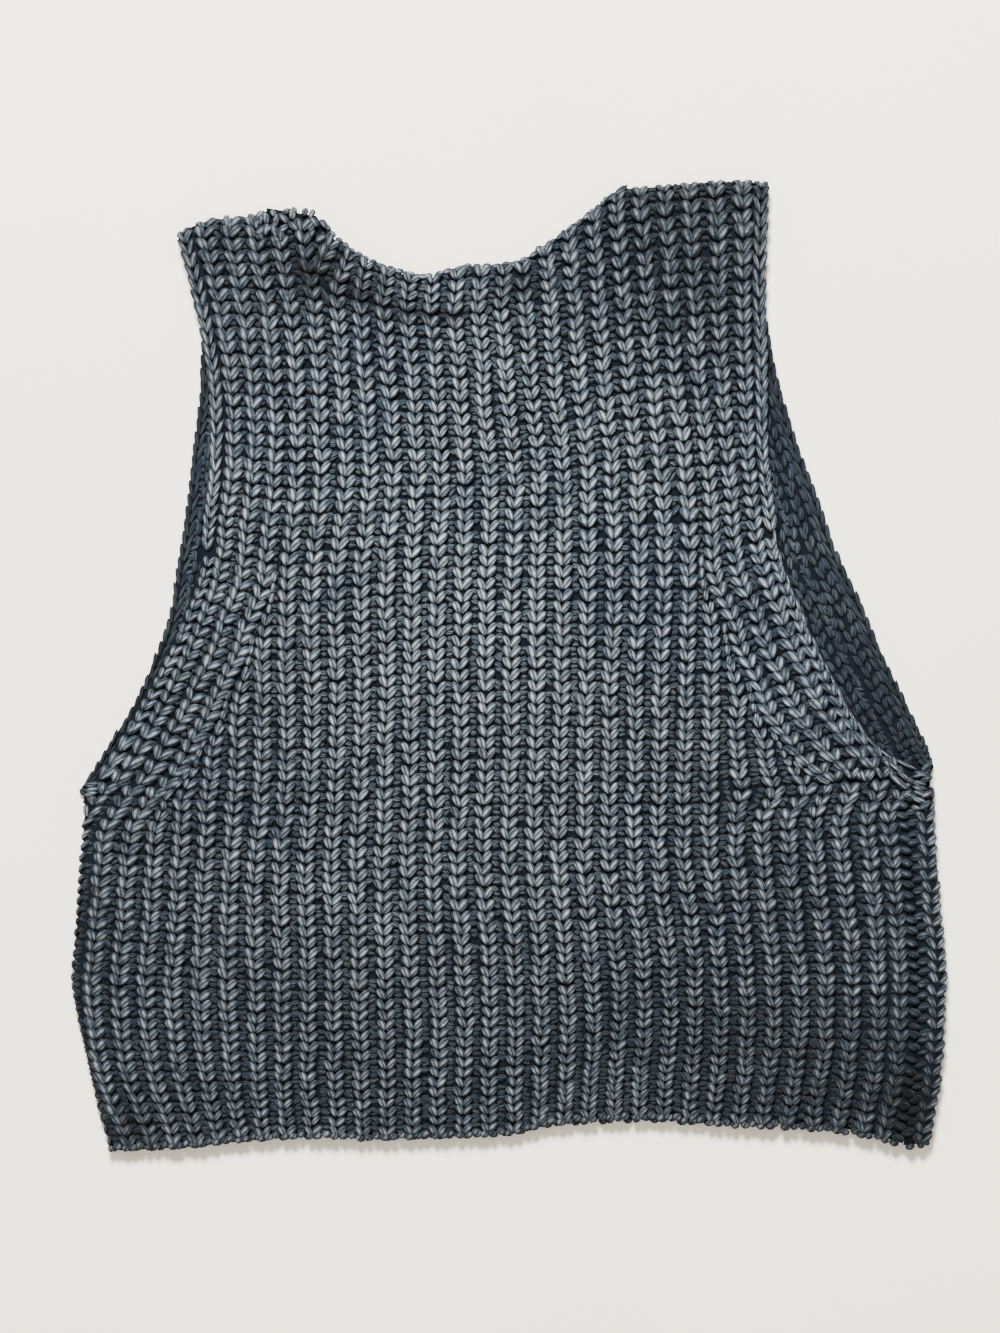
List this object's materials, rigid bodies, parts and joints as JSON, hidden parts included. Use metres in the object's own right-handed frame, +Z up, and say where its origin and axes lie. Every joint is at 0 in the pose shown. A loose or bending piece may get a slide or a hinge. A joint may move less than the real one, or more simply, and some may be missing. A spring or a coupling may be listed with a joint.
{
  "type": "knitted sweater vest",
  "caption": "Cropped sleeveless sweater in a heavy rib knit, laid flat with its back up, with a ribbed neckband and wide armholes.",
  "frame": {"origin": "on the surface that the vest lies on, under the middle of its outline", "axes": "+Z up out of the surface and through the back, +Y from the hem to the neck, +X to the right as seen from above"},
  "size_m": [0.4818, 0.533, 0.0116],
  "materials": {
    "knit": "matt, chunky rib knit of a washed slate-blue yarn, paler and chalky on its raised plies, nearly black between the ribs"
  },
  "bodies": {
    "root": {"back": "knit", "front": "knit", "neckband": "knit"}
  },
  "joints": []
}
